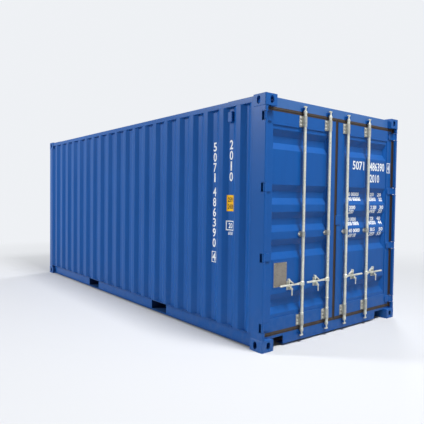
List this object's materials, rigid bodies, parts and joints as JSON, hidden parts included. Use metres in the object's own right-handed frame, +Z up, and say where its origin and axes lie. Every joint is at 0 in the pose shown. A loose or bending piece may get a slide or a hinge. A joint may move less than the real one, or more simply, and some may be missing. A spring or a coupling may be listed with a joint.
{
  "type": "shipping container",
  "caption": "Steel freight container with corrugated walls, fork pockets, hollow corner castings and double end doors closed by turning lock bars.",
  "frame": {"origin": "middle of the base, level with the undersides of the four bottom castings", "axes": "+X along the length towards the doors, +Y to the right seen from outside the doors, +Z up"},
  "size_m": [6.058, 2.438, 2.591],
  "materials": {
    "blue_paint": "satin marine paint",
    "zinc_steel": "hot dip galvanised",
    "seal_rubber": "matt weather seal",
    "plywood": "sealed plywood"
  },
  "bodies": {
    "frame": {"bottom_castings": "blue_paint", "top_castings": "blue_paint", "front_posts": "blue_paint", "rear_posts": "blue_paint", "front_sill": "blue_paint", "front_header": "blue_paint", "front_wall": "blue_paint", "door_sill": "blue_paint", "door_header": "blue_paint", "top_side_rails": "blue_paint", "bottom_side_rails": "blue_paint", "left_wall": "blue_paint", "right_wall": "blue_paint", "roof_panel": "blue_paint", "roof_corner_plates": "blue_paint", "cross_members": "blue_paint", "fork_pockets": "blue_paint", "floor_boards": "plywood", "ventilators": "blue_paint", "cam_keepers": "blue_paint", "hinge_lugs": "blue_paint"},
    "left_door": {"left_door_frame": "blue_paint", "left_door_panel": "blue_paint", "left_door_gasket": "seal_rubber", "left_door_hinges": "blue_paint", "left_bar_brackets": "zinc_steel", "left_handle_holders": "zinc_steel"},
    "right_door": {"right_door_frame": "blue_paint", "right_door_panel": "blue_paint", "right_door_gasket": "seal_rubber", "right_door_hinges": "blue_paint", "right_bar_brackets": "zinc_steel", "right_handle_holders": "zinc_steel"},
    "bar_1": {"lock_bar_1": "zinc_steel"},
    "lever_1": {"handle_1": "zinc_steel"},
    "latch_1": {"catch_1": "zinc_steel"},
    "bar_2": {"lock_bar_2": "zinc_steel"},
    "lever_2": {"handle_2": "zinc_steel"},
    "latch_2": {"catch_2": "zinc_steel"},
    "bar_3": {"lock_bar_3": "zinc_steel"},
    "lever_3": {"handle_3": "zinc_steel"},
    "latch_3": {"catch_3": "zinc_steel"},
    "bar_4": {"lock_bar_4": "zinc_steel"},
    "lever_4": {"handle_4": "zinc_steel"},
    "latch_4": {"catch_4": "zinc_steel"}
  },
  "joints": [
    {"name": "left_door_hinge", "type": "hinge", "parent": "frame", "child": "left_door", "pos_m": [3.012, -1.202, 1.3125], "axis": [0, 0, -1], "range_deg": [0, 265]},
    {"name": "right_door_hinge", "type": "hinge", "parent": "frame", "child": "right_door", "pos_m": [3.012, 1.202, 1.3125], "axis": [0, 0, 1], "range_deg": [0, 265]},
    {"name": "bar_1_turn", "type": "hinge", "parent": "left_door", "child": "bar_1", "pos_m": [3.005, -0.6, 1.3], "axis": [0, 0, -1], "range_deg": [-110, 0]},
    {"name": "handle_1_lift", "type": "hinge", "parent": "bar_1", "child": "lever_1", "pos_m": [3.005, -0.638, 0.64], "axis": [1, 0, 0], "range_deg": [-45, 0]},
    {"name": "catch_1_swing", "type": "hinge", "parent": "left_door", "child": "latch_1", "pos_m": [3.024, -0.784, 0.6], "axis": [-1, 0, 0], "range_deg": [0, 180]},
    {"name": "bar_2_turn", "type": "hinge", "parent": "left_door", "child": "bar_2", "pos_m": [3.005, -0.17, 1.3], "axis": [0, 0, -1], "range_deg": [-110, 0]},
    {"name": "handle_2_lift", "type": "hinge", "parent": "bar_2", "child": "lever_2", "pos_m": [3.005, -0.208, 0.64], "axis": [1, 0, 0], "range_deg": [-45, 0]},
    {"name": "catch_2_swing", "type": "hinge", "parent": "left_door", "child": "latch_2", "pos_m": [3.024, -0.354, 0.6], "axis": [-1, 0, 0], "range_deg": [0, 180]},
    {"name": "bar_3_turn", "type": "hinge", "parent": "right_door", "child": "bar_3", "pos_m": [3.005, 0.17, 1.3], "axis": [0, 0, 1], "range_deg": [-110, 0]},
    {"name": "handle_3_lift", "type": "hinge", "parent": "bar_3", "child": "lever_3", "pos_m": [3.005, 0.208, 0.64], "axis": [-1, 0, 0], "range_deg": [-45, 0]},
    {"name": "catch_3_swing", "type": "hinge", "parent": "right_door", "child": "latch_3", "pos_m": [3.024, 0.354, 0.6], "axis": [1, 0, 0], "range_deg": [0, 180]},
    {"name": "bar_4_turn", "type": "hinge", "parent": "right_door", "child": "bar_4", "pos_m": [3.005, 0.6, 1.3], "axis": [0, 0, 1], "range_deg": [-110, 0]},
    {"name": "handle_4_lift", "type": "hinge", "parent": "bar_4", "child": "lever_4", "pos_m": [3.005, 0.638, 0.64], "axis": [-1, 0, 0], "range_deg": [-45, 0]},
    {"name": "catch_4_swing", "type": "hinge", "parent": "right_door", "child": "latch_4", "pos_m": [3.024, 0.784, 0.6], "axis": [1, 0, 0], "range_deg": [0, 180]}
  ]
}
